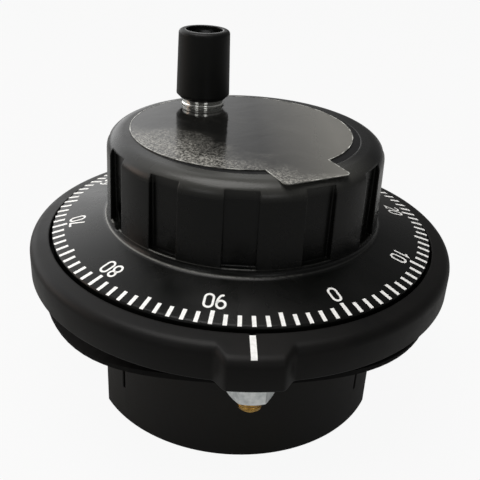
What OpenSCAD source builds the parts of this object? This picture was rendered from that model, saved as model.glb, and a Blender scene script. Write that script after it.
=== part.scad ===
// Panel-mount pulse generator handwheel: a dial and knob turn in a fixed flange, with a crank grip.
// Millimetres. +Z runs out of the panel along the wheel's axis, and the index lug points along -Y.
// The origin is on that axis, in the plane of the panel's front face.

/* [Handwheel] */
// height of the dial's outer edge above the panel
dial_edge_z = 8.2; // [7:0.1:10]
// slope of the dial's face, in degrees
dial_slope = 14.25; // [5:0.25:25]
// thickness of the dial's skirt
dial_t = 2.4; // [1.6:0.1:3.5]
// reading that stands at the index
reading = 93; // [0:1:99]
// knob diameter where it meets the dial
knob_foot_d = 50.8; // [44:0.2:54]
// how much narrower the knob's radius is at its crown than at its foot
knob_draft = 0.25; // [0:0.05:1]
// height of the knob's flat top above the panel
knob_top_z = 26.5; // [20:0.5:34]
// radius of the knob's crown
crown_r = 2.8; // [1:0.1:5]
// radius of the fillet at the knob's foot
foot_fillet_r = 1.1; // [0.5:0.1:3]
// thickness of the knob's side wall
knob_wall = 2.6; // [2:0.1:4]
// thickness of the knob's top
knob_roof = 2.4; // [1.8:0.1:4]
// number of finger recesses around the knob
recess_count = 12; // [6:1:18]
// width of a finger recess
recess_w = 5.5; // [3:0.1:8]
// depth of a finger recess
recess_depth = 1.1; // [0.4:0.1:1.4]
// height of a finger recess's lower end above the panel
recess_z = 12; // [11:0.1:14]
// height of a finger recess
recess_h = 13.3; // [8:0.1:14]
// diameter of the knob's inner hub
hub_d = 15; // [10:0.5:20]
// number of ribs inside the knob
rib_count = 6; // [3:1:8]
// thickness of a rib
rib_t = 1.5; // [1:0.1:2.5]
// height of the set screw above the panel
set_screw_z = 13.7; // [13:0.1:16]
// set screw diameter
set_screw_d = 4; // [3:0.5:5]

/* [Top plate and film] */
// width of the knob's rim round the inlaid top plate
plate_rim = 4.65; // [4:0.05:6]
// thickness of the inlaid top plate
plate_t = 0.5; // [0.3:0.1:1]
// how far the protective film stays inside the plate's edge
film_inset = 0.2; // [0:0.1:1]
// thickness of the protective film
film_t = 0.12; // [0.05:0.01:0.3]
// film centre's offset from the axis, along X
film_x = -0.9; // [-1.5:0.1:1.5]
// film centre's offset from the axis, along Y
film_y = 1.2; // [-1.5:0.1:1.5]
// how far the pull tab reaches past the film's edge
tab_past = 4.1; // [2:0.1:5]
// width of the pull tab
tab_w = 12.2; // [6:0.1:16]
// direction of the pull tab, in degrees
tab_dir = -66; // [-180:1:180]

/* [Crank] */
// distance from the top plate's edge to the crank's axis
crank_inset = 3; // [2.5:0.1:8]
// angle from the dial's zero to the crank, in degrees
crank_from_zero = 182; // [150:1:210]
// grip diameter at its lower end
grip_d = 10.5; // [8:0.1:12]
// grip diameter at its upper end
grip_top_d = 9.9; // [7:0.1:12]
// length of the grip
grip_len = 13.2; // [10:0.1:30]
// diameter of the recess in the grip's top
grip_mouth_d = 7.2; // [5:0.1:8]
// depth of that recess
grip_mouth_depth = 3.4; // [2.8:0.1:6]
// diameter of the spindle that the grip turns on
spindle_d = 4.8; // [3:0.1:5.2]
// diameter of the spindle's collar
collar_d = 8.2; // [6:0.1:10]
// height of the spindle's collar
collar_h = 1.5; // [0.8:0.1:3]

/* [Flange] */
// outer diameter of the flange
flange_d = 79.2; // [78:0.1:90]
// width of the flange's ring outside the dial's well
rim_w = 3.5; // [3:0.1:8]
// radial gap between the dial and the well that it turns in
well_gap = 0.6; // [0.3:0.1:1.5]
// height of the flange at the well's rim
rim_z = 7.6; // [6:0.1:9]
// slope of the flange's top, in degrees
rim_slope = 11; // [0:1:20]
// radius of the flange's outer edge
rim_edge_r = 1.9; // [0.4:0.1:2.4]
// thickness of the floor under the dial
floor_t = 3; // [2.4:0.1:3.4]
// how far the index lug's front stands out from the flange's edge
lug_out = 2.2; // [1.6:0.1:4]
// width of the index lug
lug_w = 10; // [6:0.5:14]
// radius where the lug's sides run into the flange
lug_fillet_r = 1.8; // [1:0.1:3]
// width of the land that rests on the panel, outside the spigot that enters its cut-out
land_w = 2.5; // [1.5:0.1:3.5]
// depth of the spigot
spigot_h = 5.5; // [3:0.5:8]
// diameter of the bearing hub
bearing_hub_d = 16; // [12:0.5:18]

/* [Panel fixing] */
// distance from the flange's edge in to the studs' circle
stud_inset = 3.6; // [3.4:0.1:5]
// number of studs
stud_count = 3; // [3:1:3]
// stud diameter
stud_d = 4; // [3:0.5:4]
// length of stud behind the panel's front face
stud_reach = 6.4; // [5:0.1:20]
// nut width across its flats
nut_w = 7; // [5.5:0.5:7]
// nut thickness
nut_h = 3.2; // [2.4:0.1:3.4]
// gasket thickness
gasket_t = 1.1; // [0.8:0.1:2]
// how far the gasket stays inside the flange's edge
gasket_inset = 1; // [0.5:0.1:2]
// width of the gasket, from its hole to its rim
gasket_w = 6.6; // [6:0.1:7.5]
// thickness of the gasket at its rim, where it droops
gasket_rim_t = 0.6; // [0.4:0.1:1]
// how far the gasket's rim droops midway between two studs
gasket_droop = 4.8; // [0:0.1:5]
// how far the rim is drawn inward there as it bends down
gasket_draw = 1.2; // [0:0.1:1.5]

/* [Rear case] */
// radial step from the spigot in to the rear case
case_step = 0.6; // [0.3:0.1:2]
// width of the rear case across its flats
case_w = 49.8; // [46:0.1:56]
// distance from the panel's front face to the back of the case
case_back = 24; // [22:0.5:34]
// wall thickness of the rear case
case_wall = 2; // [1.6:0.1:2.4]
// depth of the wiring recess in the back
pocket_depth = 9.4; // [9:0.1:10]
// width of the wiring recess
pocket_w = 35; // [33:0.5:36]
// width of a ventilation slit
slit_w = 0.7; // [0.5:0.1:1.2]
// angle from the index to the nearer slits, in degrees
slit_dir = 48.5; // [44:0.5:52]
// diameter of a case screw
screw_d = 2.8; // [2:0.1:3]

/* [Bearing and shaft] */
// shaft diameter
shaft_d = 6; // [5:0.5:7]
// wall thickness of a bush
bush_wall = 2; // [1.2:0.1:2.5]
// thickness of a bush's collar
bush_collar_h = 1; // [0.6:0.1:1.5]
// thickness of a thrust washer
washer_t = 0.5; // [0.3:0.1:0.8]
// thickness of the retaining ring
ring_t = 0.6; // [0.4:0.1:1]

/* [Encoder] */
// number of steps in one turn
steps = 100; // [50:10:100]
// radial gap between the toothed detent wheel and the flange's screw posts
detent_gap = 1.4; // [1:0.1:4]
// depth of a detent tooth
tooth_h = 0.7; // [0.4:0.1:1]
// gap between the detent wheel and its pole
pole_gap = 0.35; // [0.2:0.05:0.6]
// radial gap between the slotted code disc and the case's screw posts
disc_gap = 1.3; // [1:0.1:4]
// thickness of the code disc
disc_t = 0.3; // [0.2:0.05:0.5]
// length of a slot in the code disc
slot_len = 2; // [1:0.1:3]
// thickness of the circuit board
board_t = 1.6; // [1:0.1:2]
// number of terminals
terminal_count = 6; // [2:1:6]
// distance from one terminal to the next
terminal_pitch = 5.08; // [3.5:0.01:5.2]

/* [Fits] */
// radial clearance of a running fit
running_fit = 0.05; // [0.02:0.01:0.1]
// radial clearance of a seated fit
seated_fit = 0.02; // [0.01:0.01:0.05]

/* [Hidden] */
$fn = 64;
small = 0.01;
over = 1;

step_deg = 360 / steps;
zero_dir = -90 + (steps - reading) * step_deg;
flange_r = flange_d / 2;
lug_reach = flange_r + lug_out;
well_r = flange_r - rim_w;
dial_r = well_r - well_gap;
foot_r = knob_foot_d / 2;
top_r = foot_r - knob_draft;
crown_z = knob_top_z - crown_r;
recess_floor_r = top_r - recess_depth;
cavity_r = top_r - knob_wall;
cavity_top_z = knob_top_z - knob_roof;
set_screw_dir = zero_dir - 90;
plate_r = top_r - plate_rim;
film_r = plate_r - film_inset;
tab_reach = film_r + tab_past;
crank_r = plate_r - crank_inset;
crank_thread_r = 1.5;
crank_boss_r = 3.6;
crank_screw_r = 1.25;
crank_screw_head_r = 2.5;
crank_dir = zero_dir + crank_from_zero;

under_z = gasket_t;
floor_z = under_z + floor_t;
gasket_r = flange_r - gasket_inset;
gasket_hole_r = gasket_r - gasket_w;
land_r = gasket_hole_r - 0.5;
spigot_r = land_r - land_w;
stud_r = stud_d / 2;
stud_circle_r = flange_r - stud_inset;
stud_head_d = 5.6;
stud_head_h = 1.6;
stud_head_z = under_z + 0.6;

case_r = spigot_r - case_step;
screw_head_r = 2.7;
screw_head_h = 2.5;
post_r = 3;
post_gap = 0.3;
case_post_r = post_r + 0.6;
post_end_z = -9;
screw_dirs = [90, 210, 330];
screw_circle_r = min((case_w / 2 - case_wall - post_gap - post_r) / cos(30),
                     case_r - case_wall - post_gap - 0.7 - post_r);

shaft_r = shaft_d / 2;
bush_r = shaft_r + bush_wall;
hub_top_z = dial_edge_z;
hub_low_z = -0.5;
bush_len = 4;
washer_r = 6;
upper_washer_z = hub_top_z + bush_collar_h + running_fit;
wheel_low_z = upper_washer_z + washer_t;
lower_bush_z = hub_low_z - bush_collar_h;
lower_washer_z = lower_bush_z - running_fit - washer_t;
ring_z = lower_washer_z - ring_t;
groove_r = shaft_r - 0.5;
detent_r = screw_circle_r - post_r - detent_gap;
detent_hub_h = 3;
detent_hub_w = 3;
detent_hub_r = shaft_r + detent_hub_w;
detent_t = 1.5;
pole_teeth = 3;
pole_depth = 4;
magnet_w = 5;
magnet_depth = 3;
detent_top_z = ring_z - 0.4;
detent_low_z = detent_top_z - detent_hub_h;
disc_r = screw_circle_r - case_post_r - disc_gap;
code_hub_h = 2;
code_hub_w = 5;
code_hub_r = shaft_r + code_hub_w;
disc_top_z = detent_low_z - code_hub_h;
disc_z = disc_top_z - disc_t;
clamp_h = 1.2;
clamp_w = 3;
clamp_r = shaft_r + clamp_w;
sensor_w = 9;
sensor_reach = 4;
sensor_back = 3;
sensor_arm_h = 1;
sensor_room = 0.6;
shaft_low_z = disc_z - clamp_h - 0.5;
shaft_top_z = cavity_top_z - 1;

case_top_z = -spigot_h;
case_back_z = -case_back;
pocket_top_z = case_back_z + pocket_depth;
pocket_wall = 1.4;
pocket_low_y = -6;
pocket_high_y = 13;
shelf_z = pocket_top_z + pocket_wall;
pad_h = 0.6;
board_z = shelf_z + pad_h;
board_top_z = board_z + board_t;
pad_x = 14.5;
pad_y = -2;
pad_r = 2;
board_screw_r = 0.78;
board_head_r = 1.8;
board_head_h = 1.2;
terminal_y = 8;
terminal_depth = 10;
terminal_h = 8.8;
pin_r = 0.5;
pin_base_h = 5.8;
wire_screw_r = 1.65;
wire_screw_h = 4.4;
wire_screw_inset = 0.6;
terminal_w = terminal_count * terminal_pitch + 1;

grip_z = knob_top_z + collar_h + 2 * running_fit;
grip_top_z = grip_z + grip_len;
mouth_z = grip_top_z - grip_mouth_depth;
post_top_z = mouth_z + 2 * running_fit;
spindle_r = spindle_d / 2;

// a point on the dial's sloping face, at a radius
function face_z(r) = dial_edge_z + tan(dial_slope) * (dial_r - r);

// height of the flange's sloping top, at a radius
function slope_z(r) = rim_z - tan(rim_slope) * (r - well_r);

// ---------- flange and panel fixing ----------

// half section of a ring with the flange's sloping top, its outer edge eased in short steps
module rim_section(near, reach, rise) {
    facets = 6;
    crest_r = reach - rim_edge_r;
    crest_z = slope_z(crest_r) + rise - rim_edge_r / cos(rim_slope);
    polygon(concat([[near, slope_z(near) + rise], [near, under_z], [reach, under_z]],
                   [for (t = [0 : facets])
                       let (turn = t * (90 - rim_slope) / facets)
                       [crest_r + rim_edge_r * cos(turn), crest_z + rim_edge_r * sin(turn)]]));
}

// plan of the index lug, with rounded corners and filleted sides, a little past its front
module lug_plan() {
    half = lug_w / 2;
    corner_r = 1.2;
    front = -lug_reach - 0.2;
    sunk = 0.1;
    turn_y = -sqrt(pow(flange_r + lug_fillet_r - sunk, 2) - pow(half + lug_fillet_r, 2));
    difference() {
        union() {
            translate([-half, front + corner_r]) square([lug_w, 8]);
            translate([corner_r - half, front]) square([lug_w - 2 * corner_r, 8]);
            for (side = [-1, 1])
                translate([side * (half - corner_r), front + corner_r]) circle(corner_r);
            translate([-half - lug_fillet_r, turn_y]) square([lug_w + 2 * lug_fillet_r, 4]);
        }
        for (side = [-1, 1])
            translate([side * (half + lug_fillet_r), turn_y]) circle(lug_fillet_r);
    }
}

// outline of the rear case, a circle with two flats, grown inward by an amount
module case_outline(inset) {
    intersection() {
        circle(case_r - inset);
        square([case_w - 2 * inset, 2 * case_r], center = true);
    }
}

// moulded flange: ring with the index lug, floor, bearing hub, panel land and spigot
module bezel_flange() {
    color([0.07, 0.07, 0.075])
    difference() {
        union() {
            rotate_extrude() {
                rim_section(well_r, flange_r, 0);
                translate([bush_r, under_z]) square([well_r - bush_r + over, floor_t]);
                translate([bush_r, hub_low_z]) square([bearing_hub_d / 2 - bush_r, hub_top_z - hub_low_z]);
            }
            intersection() {
                rotate_extrude() rim_section(well_r + 0.3, lug_reach, 0.02);
                translate([0, 0, -over]) linear_extrude(rim_z + 2 * over) lug_plan();
            }
            linear_extrude(under_z + small) difference() {
                circle(land_r);
                case_outline(case_wall);
            }
            translate([0, 0, case_top_z]) linear_extrude(spigot_h + small) difference() {
                circle(spigot_r);
                case_outline(case_wall);
            }
            for (a = screw_dirs)
                rotate(a) translate([screw_circle_r, 0, post_end_z])
                    cylinder(r = post_r, h = floor_z - post_end_z - 1);
        }
        for (a = screw_dirs)
            rotate(a) translate([screw_circle_r, 0, post_end_z - over])
                cylinder(r = screw_d / 2 + seated_fit, h = 8 + over);
        for (i = [0 : stud_count - 1])
            rotate(-90 + i * 360 / stud_count) translate([stud_circle_r, 0, 0]) {
                cylinder(r = stud_r + seated_fit, h = floor_z - over);
                translate([0, 0, stud_head_z]) cylinder(d = stud_head_d + 2 * seated_fit, h = stud_head_h);
            }
    }
}

// share of the way from a stud to the middle of the next span, eased at both ends
function span_share(a) =
    let (span = 360 / stud_count,
         turn = (a + 90 + 360) % span,
         away = min(turn, span - turn),
         flat = 6.5)
    (1 - cos(180 * pow(max(0, (away - flat) / (span / 2 - flat)), 0.88))) / 2;

// share of the full droop that each span takes, starting from the index lug
function span_droop(a) =
    let (sag = [0.76, 0.85, 1])
    sag[floor(((a + 90 + 360) % 360) * stud_count / 360) % 3];

// how far the gasket's underside droops at a direction and a share of its width
function droop(a, share) = -gasket_droop * span_droop(a) * span_share(a) * pow(share, 1.2);

// thickness of the gasket at a direction and a share of its width
function gasket_thick(a, share) = gasket_t - (gasket_t - gasket_rim_t) * span_share(a) * share;

// soft gasket ring, clamped at the studs, drooping and thinner between them
module panel_gasket() {
    turns = 90;
    shares = [0, 0.35, 0.7, 1];
    rows = len(shares);
    ring = 2 * rows;
    points = [for (i = [0 : turns - 1], j = [0 : ring - 1])
        let (a = i * 360 / turns,
             share = shares[j < rows ? j : ring - 1 - j],
             r = gasket_hole_r + share * (gasket_w - gasket_draw * span_share(a)),
             z = droop(a, share) + (j < rows ? 0 : gasket_thick(a, share)))
        [r * cos(a), r * sin(a), z]];
    faces = [for (i = [0 : turns - 1], j = [0 : ring - 1], half = [0, 1])
        let (a = i * ring + j,
             b = i * ring + (j + 1) % ring,
             c = ((i + 1) % turns) * ring + (j + 1) % ring,
             d = ((i + 1) % turns) * ring + j)
        half == 0 ? [a, c, b] : [a, d, c]];
    color([0.05, 0.05, 0.05])
    difference() {
        polyhedron(points, faces);
        for (i = [0 : stud_count - 1])
            rotate(-90 + i * 360 / stud_count) translate([stud_circle_r, 0, -over])
                cylinder(r = stud_r + 0.2, h = gasket_t + 2 * over);
    }
}

// brass studs with their heads moulded into the flange
module mount_studs() {
    tip = 0.6;
    color([0.78, 0.6, 0.25])
    for (i = [0 : stud_count - 1])
        rotate(-90 + i * 360 / stud_count) translate([stud_circle_r, 0, 0]) {
            translate([0, 0, -stud_reach + tip]) cylinder(r = stud_r, h = stud_reach - tip + stud_head_z + small);
            translate([0, 0, -stud_reach]) cylinder(r1 = stud_r - tip, r2 = stud_r, h = tip);
            translate([0, 0, stud_head_z]) cylinder(d = stud_head_d, h = stud_head_h);
        }
}

// one hexagon nut with chamfered corners, its top at z = 0
module hex_nut() {
    corner_d = nut_w / cos(30);
    difference() {
        intersection() {
            translate([0, 0, -nut_h]) cylinder(d = corner_d, h = nut_h, $fn = 6);
            translate([0, 0, -nut_h]) cylinder(d1 = nut_w, d2 = nut_w + 4 * nut_h, h = nut_h);
        }
        translate([0, 0, -nut_h - over]) cylinder(r = stud_r + seated_fit, h = nut_h + 2 * over);
    }
}

// plated nuts run up against the gasket
module stud_nuts() {
    color([0.8, 0.8, 0.82])
    for (i = [0 : stud_count - 1])
        rotate(i * 360 / stud_count) translate([0, -stud_circle_r, 0]) hex_nut();
}

// ---------- rear case ----------

// moulded rear case with two flats, a wiring recess in its back, slits and screw posts
module rear_case() {
    post_h = post_end_z - case_back_z;
    pocket_h = pocket_high_y - pocket_low_y;
    color([0.06, 0.06, 0.065])
    difference() {
        union() {
            translate([0, 0, case_back_z]) linear_extrude(case_top_z - case_back_z) difference() {
                case_outline(0);
                case_outline(case_wall);
            }
            translate([0, 0, case_back_z]) linear_extrude(case_wall) case_outline(small);
            translate([-pocket_w / 2 - pocket_wall, pocket_low_y - pocket_wall, case_back_z])
                cube([pocket_w + 2 * pocket_wall, pocket_h + 2 * pocket_wall, pocket_depth + pocket_wall]);
            intersection() {
                for (a = screw_dirs)
                    rotate(a) translate([screw_circle_r, 0, case_back_z]) cylinder(r = case_post_r, h = post_h);
                translate([0, 0, case_back_z]) linear_extrude(post_h) case_outline(small);
            }
            for (side = [-1, 1])
                translate([side * pad_x, pad_y, shelf_z - small]) cylinder(r = pad_r, h = pad_h + small);
            for (side = [-1, 1])
                translate([side * pad_x, pocket_high_y - 2, shelf_z - small]) cylinder(r = 1.5, h = pad_h + small);
        }
        translate([-pocket_w / 2, pocket_low_y, case_back_z - over])
            cube([pocket_w, pocket_h, pocket_depth + over]);
        for (a = screw_dirs)
            rotate(a) translate([screw_circle_r, 0, case_back_z - over]) {
                cylinder(r = screw_d / 2 + 0.15, h = post_h + 2 * over);
                cylinder(r = screw_head_r + 0.2, h = screw_head_h + over);
            }
        for (a = [-90 - slit_dir, -90 + slit_dir, 90 - slit_dir, 90 + slit_dir])
            rotate(a) translate([case_r - case_wall - 0.6, -slit_w / 2, case_back_z + 7])
                cube([case_wall + 2, slit_w, 8]);
        for (i = [0 : terminal_count - 1])
            translate([(i - (terminal_count - 1) / 2) * terminal_pitch, terminal_y, pocket_top_z - over])
                cylinder(r = 0.8, h = pocket_wall + 2 * over);
        for (side = [-1, 1])
            translate([side * pad_x, pad_y, shelf_z - 0.8]) cylinder(r = board_screw_r + seated_fit, h = pad_h + 2 * over);
    }
}

// a cross recess, as deep as it is set into a head
module cross_recess(size, depth) {
    for (turn = [0, 90])
        rotate(turn) translate([-size / 2, -size / 8, -depth]) cube([size, size / 4, depth + over]);
}

// self-tapping screws that hold the rear case on the flange's posts
module case_screws() {
    head_z = case_back_z + screw_head_h;
    color([0.75, 0.75, 0.77])
    for (a = screw_dirs)
        rotate(a) translate([screw_circle_r, 0, head_z]) difference() {
            union() {
                translate([0, 0, -2]) cylinder(r = screw_head_r, h = 2);
                cylinder(r = screw_d / 2, h = post_end_z - head_z + 7.5);
            }
            translate([0, 0, -2]) rotate([180, 0, 0]) cross_recess(3, 1);
        }
}

// ---------- bearing ----------

// one collared bush, its collar at z = 0 and its body running down from it
module bush() {
    rotate_extrude() {
        translate([shaft_r + running_fit, -bush_len]) square([bush_wall - running_fit - small, bush_len]);
        translate([shaft_r + running_fit, 0]) square([washer_r + 0.5 - shaft_r, bush_collar_h]);
    }
}

// bronze bush pressed into the hub's front end
module upper_bush() {
    color([0.7, 0.52, 0.3]) translate([0, 0, hub_top_z]) bush();
}

// bronze bush pressed into the hub's rear end
module lower_bush() {
    color([0.7, 0.52, 0.3]) translate([0, 0, hub_low_z]) rotate([180, 0, 0]) bush();
}

// flat ring between a bush and the part that turns against it
module thrust_washer(z) {
    translate([0, 0, z]) difference() {
        cylinder(r = washer_r, h = washer_t);
        translate([0, 0, -over]) cylinder(r = shaft_r + running_fit, h = washer_t + 2 * over);
    }
}

// thrust washer under the knob's hub
module upper_washer() {
    color([0.85, 0.85, 0.8]) thrust_washer(upper_washer_z);
}

// thrust washer behind the rear bush
module lower_washer() {
    color([0.85, 0.85, 0.8]) thrust_washer(lower_washer_z);
}

// open ring that snaps into the shaft's groove
module retaining_ring() {
    color([0.35, 0.35, 0.36]) translate([0, 0, ring_z]) difference() {
        cylinder(r = shaft_r + 1.4, h = ring_t);
        translate([0, 0, -over]) cylinder(r = groove_r + seated_fit, h = ring_t + 2 * over);
        translate([0, -groove_r * 0.85, -over]) cube([shaft_r + 3, groove_r * 1.7, ring_t + 2 * over]);
    }
}

// steel shaft with a flat for the set screw and a groove for the retaining ring
module shaft() {
    color([0.7, 0.71, 0.73]) difference() {
        translate([0, 0, shaft_low_z]) cylinder(r = shaft_r, h = shaft_top_z - shaft_low_z);
        rotate(set_screw_dir) translate([shaft_r - 0.5, -shaft_r, wheel_low_z + 0.5])
            cube([shaft_r, shaft_d, shaft_top_z]);
        translate([0, 0, ring_z]) difference() {
            cylinder(r = shaft_r + over, h = ring_t);
            cylinder(r = groove_r, h = ring_t);
        }
    }
}

// ---------- encoder ----------

// soft-iron wheel with one tooth for each step of the dial
module detent_wheel() {
    tip_r = detent_r;
    gap_w = tip_r * PI / steps;
    lighten_r = 3;
    lighten_place = (detent_hub_r + tip_r - tooth_h) / 2;
    color([0.45, 0.45, 0.47]) difference() {
        union() {
            translate([0, 0, detent_top_z - detent_t]) linear_extrude(detent_t) difference() {
                circle(tip_r);
                for (i = [0 : steps - 1])
                    rotate(zero_dir + (i + 0.5) * step_deg) translate([tip_r - tooth_h, -gap_w / 2])
                        square([tooth_h + over, gap_w]);
            }
            translate([0, 0, detent_low_z]) cylinder(r = detent_hub_r, h = detent_hub_h);
        }
        translate([0, 0, detent_low_z - over]) cylinder(r = shaft_r + seated_fit, h = detent_hub_h + 2 * over);
        for (i = [0 : 5])
            rotate(i * 60) translate([lighten_place, 0, detent_low_z - over])
                cylinder(r = lighten_r, h = detent_hub_h + 2 * over);
    }
}

// toothed iron pole that faces the detent wheel across a small gap
module detent_pole() {
    near_r = detent_r + pole_gap;
    gap_w = near_r * PI / steps;
    pole_w = 2 * near_r * sin(pole_teeth * step_deg);
    color([0.4, 0.4, 0.42]) rotate(30) translate([0, 0, detent_top_z - detent_t]) linear_extrude(detent_t)
        difference() {
            intersection() {
                circle(near_r + pole_depth);
                translate([0, -pole_w / 2]) square([near_r + pole_depth + 2, pole_w]);
            }
            circle(near_r);
            for (i = [-pole_teeth : pole_teeth - 1])
                rotate((i + 0.5) * step_deg) translate([near_r - over, -gap_w / 2]) square([tooth_h + over, gap_w]);
        }
}

// magnet between the pole and the flange's floor
module detent_magnet() {
    low_z = detent_top_z;
    color([0.3, 0.3, 0.32]) rotate(30) translate([detent_r + pole_gap + 0.9, -magnet_w / 2, low_z])
        cube([magnet_depth, magnet_w, under_z - low_z]);
}

// hub that carries the code disc
module code_hub() {
    color([0.72, 0.72, 0.74]) translate([0, 0, disc_top_z]) difference() {
        cylinder(r = code_hub_r, h = code_hub_h);
        translate([0, 0, -over]) cylinder(r = shaft_r + seated_fit, h = code_hub_h + 2 * over);
    }
}

// thin disc with a slot for each step
module code_disc() {
    slot_r = disc_r - 1;
    slot_w = (slot_r - slot_len) * PI / steps;
    color([0.6, 0.6, 0.62]) translate([0, 0, disc_z]) linear_extrude(disc_t) difference() {
        circle(disc_r);
        circle(shaft_r + seated_fit);
        for (i = [0 : steps - 1])
            rotate(zero_dir + i * step_deg) translate([slot_r - slot_len, -slot_w / 2]) square([slot_len, slot_w]);
    }
}

// collar that clamps the code disc on its hub
module disc_clamp() {
    color([0.72, 0.72, 0.74]) translate([0, 0, disc_z - clamp_h]) difference() {
        cylinder(r = clamp_r, h = clamp_h);
        translate([0, 0, -over]) cylinder(r = shaft_r + seated_fit, h = clamp_h + 2 * over);
    }
}

// circuit board on the case's pads, cut away around the screw posts
module circuit_board() {
    color([0.05, 0.3, 0.14]) translate([0, 0, board_z]) linear_extrude(board_t) difference() {
        case_outline(case_wall + 0.5);
        for (a = screw_dirs)
            rotate(a) translate([screw_circle_r, 0]) circle(case_post_r + 0.5);
        for (i = [0 : terminal_count - 1])
            translate([(i - (terminal_count - 1) / 2) * terminal_pitch, terminal_y]) circle(pin_r + 0.05);
        for (side = [-1, 1])
            translate([side * pad_x, pad_y]) circle(board_screw_r + 0.32);
    }
}

// small screws that hold the circuit board on its pads
module board_screws() {
    color([0.75, 0.75, 0.77])
    for (side = [-1, 1])
        translate([side * pad_x, pad_y, board_top_z]) difference() {
            union() {
                cylinder(r = board_head_r, h = board_head_h);
                translate([0, 0, -board_t - 1.2]) cylinder(r = board_screw_r, h = board_t + 1.2 + small);
            }
            translate([0, 0, board_head_h]) cross_recess(2, 0.6);
        }
}

// slotted sensor that reaches over the code disc's edge
module optical_sensor() {
    inner_r = disc_r - sensor_reach;
    outer_r = disc_r + sensor_back;
    gap_low_z = disc_z - 0.8;
    gap_high_z = disc_top_z + 0.5;
    top_z = gap_high_z + sensor_arm_h;
    color([0.1, 0.1, 0.11]) translate([-sensor_w / 2, -outer_r, board_top_z]) difference() {
        cube([sensor_w, outer_r - inner_r, top_z - board_top_z]);
        translate([-over, sensor_back - sensor_room, gap_low_z - board_top_z])
            cube([sensor_w + 2 * over, sensor_reach + sensor_back, gap_high_z - gap_low_z]);
    }
}

// slit plate on the sensor's lower arm
module reticle() {
    low_z = disc_z - 0.8;
    plate_w = 7;
    plate_len = 3.4;
    slot_w = 0.5;
    color([0.55, 0.6, 0.62]) translate([-plate_w / 2, -disc_r + 0.4, low_z]) difference() {
        cube([plate_w, plate_len, 0.4]);
        for (i = [-2 : 2])
            translate([plate_w / 2 + i * 1.1 - slot_w / 2, 0.7, -over]) cube([slot_w, 2, 3]);
    }
}

// screw terminal block standing in the wiring recess
module terminal_block() {
    back_y = pocket_high_y;
    hole_w = terminal_pitch - 1.8;
    screw_well_h = wire_screw_inset + wire_screw_h;
    color([0.08, 0.3, 0.16]) translate([0, 0, pocket_top_z - terminal_h]) difference() {
        translate([-terminal_w / 2, back_y - terminal_depth, 0]) cube([terminal_w, terminal_depth, terminal_h]);
        for (i = [0 : terminal_count - 1])
            translate([(i - (terminal_count - 1) / 2) * terminal_pitch, 0, 0]) {
                translate([0, terminal_y, -over]) cylinder(r = wire_screw_r + 0.05, h = screw_well_h + over);
                translate([-hole_w / 2, back_y - terminal_depth - over, 1.6]) cube([hole_w, 3 + over, hole_w]);
                translate([0, terminal_y, pin_base_h]) cylinder(r = pin_r + seated_fit, h = terminal_h);
            }
    }
}

// slotted screws in the terminal block
module terminal_screws() {
    color([0.78, 0.78, 0.8])
    for (i = [0 : terminal_count - 1])
        translate([(i - (terminal_count - 1) / 2) * terminal_pitch, terminal_y,
                   pocket_top_z - terminal_h + wire_screw_inset])
            difference() {
                cylinder(r = wire_screw_r, h = wire_screw_h);
                translate([-2, -0.25, -over]) cube([4, 0.5, 0.8 + over]);
            }
}

// pins from the terminal block through the circuit board
module terminal_pins() {
    low_z = pocket_top_z - terminal_h + pin_base_h;
    color([0.8, 0.8, 0.78])
    for (i = [0 : terminal_count - 1])
        translate([(i - (terminal_count - 1) / 2) * terminal_pitch, terminal_y, low_z])
            cylinder(r = pin_r, h = board_top_z + 1 - low_z);
}

// ---------- handwheel ----------

// half section of the solid that the handwheel is hollowed from
module wheel_section() {
    edge = 0.25;
    fillet_x = foot_r + foot_fillet_r;
    fillet_z = face_z(fillet_x) + foot_fillet_r / cos(dial_slope);
    meet_x = fillet_x - foot_fillet_r * sin(dial_slope);
    polygon([[0, dial_edge_z - dial_t], [dial_r, dial_edge_z - dial_t], [dial_r, dial_edge_z - edge],
             [dial_r - edge, face_z(dial_r - edge)], [foot_r - over, face_z(foot_r - over)],
             [0, face_z(foot_r - over)]]);
    difference() {
        polygon([[foot_r - over, face_z(foot_r)], [foot_r, face_z(foot_r)], [meet_x, face_z(meet_x)],
                 [fillet_x, fillet_z], [foot_r, fillet_z], [foot_r - over, fillet_z]]);
        translate([fillet_x, fillet_z]) circle(foot_fillet_r);
    }
    polygon([[0, face_z(foot_r)], [foot_r, face_z(foot_r)], [foot_r, fillet_z], [top_r, crown_z],
             [top_r - crown_r, crown_z], [top_r - crown_r, knob_top_z], [0, knob_top_z]]);
    translate([top_r - crown_r, crown_z]) circle(crown_r);
}

// half section of the hollow under the dial and inside the knob
module hollow_section() {
    low = dial_edge_z - dial_t - over;
    skirt_r = dial_r - 2;
    polygon([[0, low], [skirt_r, low], [skirt_r, face_z(skirt_r) - dial_t],
             [cavity_r, face_z(cavity_r) - dial_t], [cavity_r, cavity_top_z],
             [hub_d / 2, cavity_top_z], [hub_d / 2, wheel_low_z], [0, wheel_low_z]]);
}

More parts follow.
